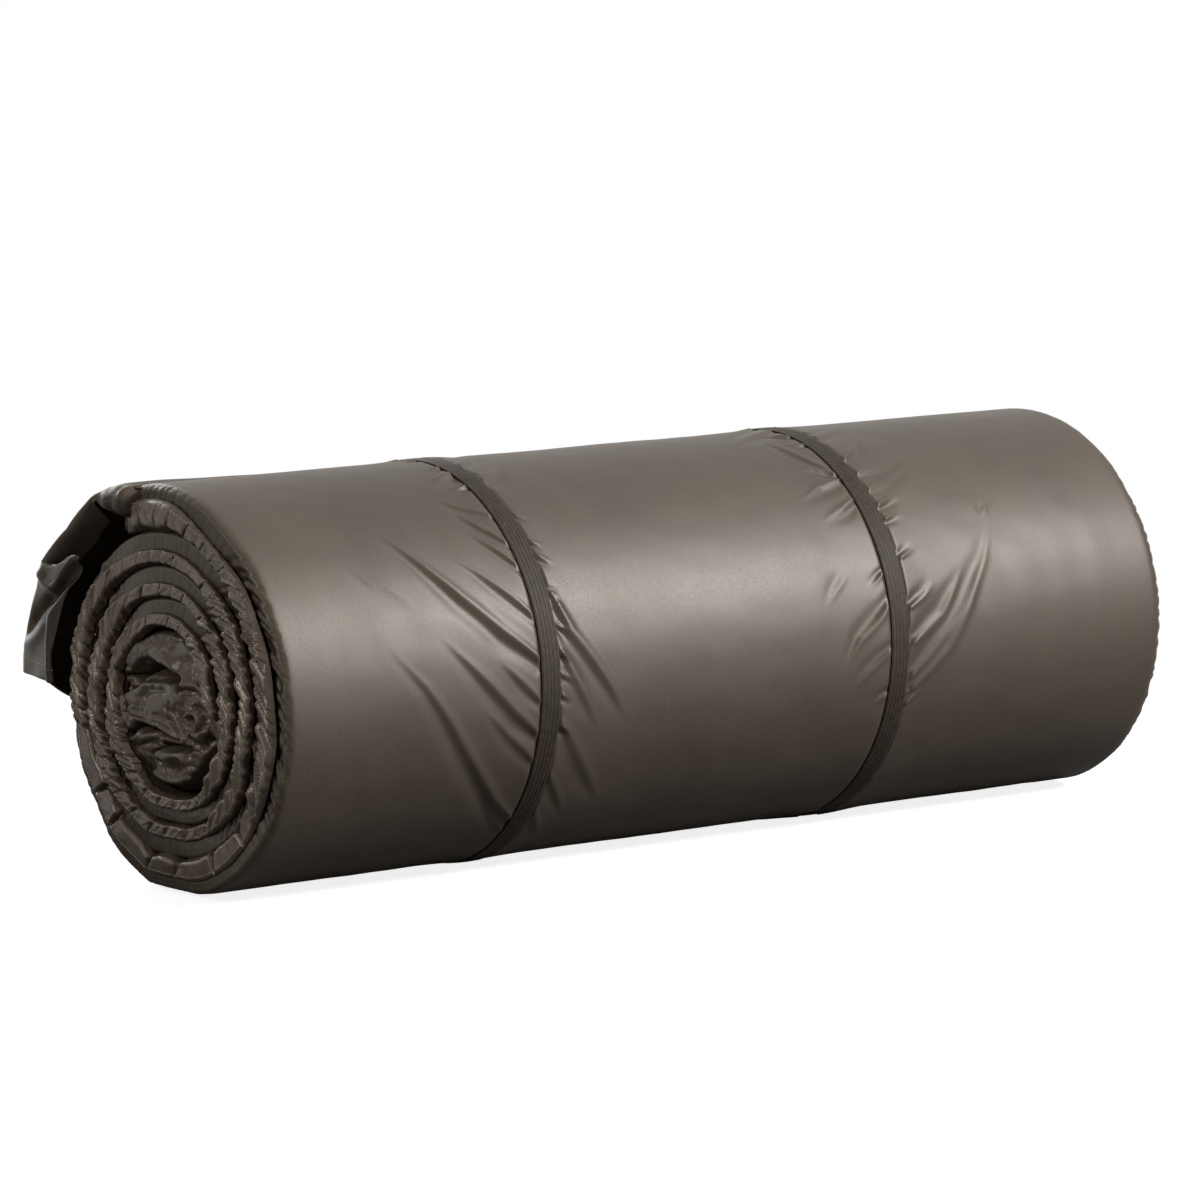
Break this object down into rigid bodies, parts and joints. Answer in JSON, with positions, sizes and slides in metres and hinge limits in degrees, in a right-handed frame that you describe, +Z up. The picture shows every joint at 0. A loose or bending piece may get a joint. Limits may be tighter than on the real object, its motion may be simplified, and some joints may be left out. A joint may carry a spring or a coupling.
{
  "type": "rolled sleeping mat",
  "caption": "Foam sleeping mat in a satin cover, rolled up with its ruched hems at the ends and its free cover flap over the back, held by elastic loops.",
  "frame": {"origin": "on the floor below the middle of the whole roll's box, flap included", "axes": "+X along the roll, away from the end with the loose flap corner; +Y towards the back, where the flap hangs; +Z up"},
  "size_m": [0.6579, 0.2644, 0.2319],
  "materials": {
    "open_cell_foam": "matte",
    "cover_satin": "satin",
    "cover_lining": "satin",
    "hem_fabric": "satin",
    "elastic_webbing": "matte"
  },
  "bodies": {
    "root": {"foam_core": "open_cell_foam", "cover_top_sheet": "cover_satin", "cover_base_sheet": "cover_lining", "hem_left": "hem_fabric", "hem_right": "hem_fabric", "end_flap": "cover_satin", "inner_flap": "cover_lining"},
    "loop_left": {"elastic_strap_left": "elastic_webbing"},
    "loop_right": {"elastic_strap_right": "elastic_webbing"},
    "tail_corner": {"flap_corner_left": "cover_satin"}
  },
  "joints": [
    {"name": "strap_left_slide", "type": "slide", "parent": "root", "child": "loop_left", "axis": [1, 0, 0], "range_m": [-0.21, 0.1], "deforming": ["flap_corner_left"]},
    {"name": "strap_right_slide", "type": "slide", "parent": "root", "child": "loop_right", "axis": [1, 0, 0], "range_m": [-0.1, 0.225]},
    {"name": "tail_corner_lift", "type": "hinge", "parent": "root", "child": "tail_corner", "pos_m": [0, 0.00883, 0.22947], "axis": [1, 0, 0], "range_deg": [0, 70]}
  ]
}
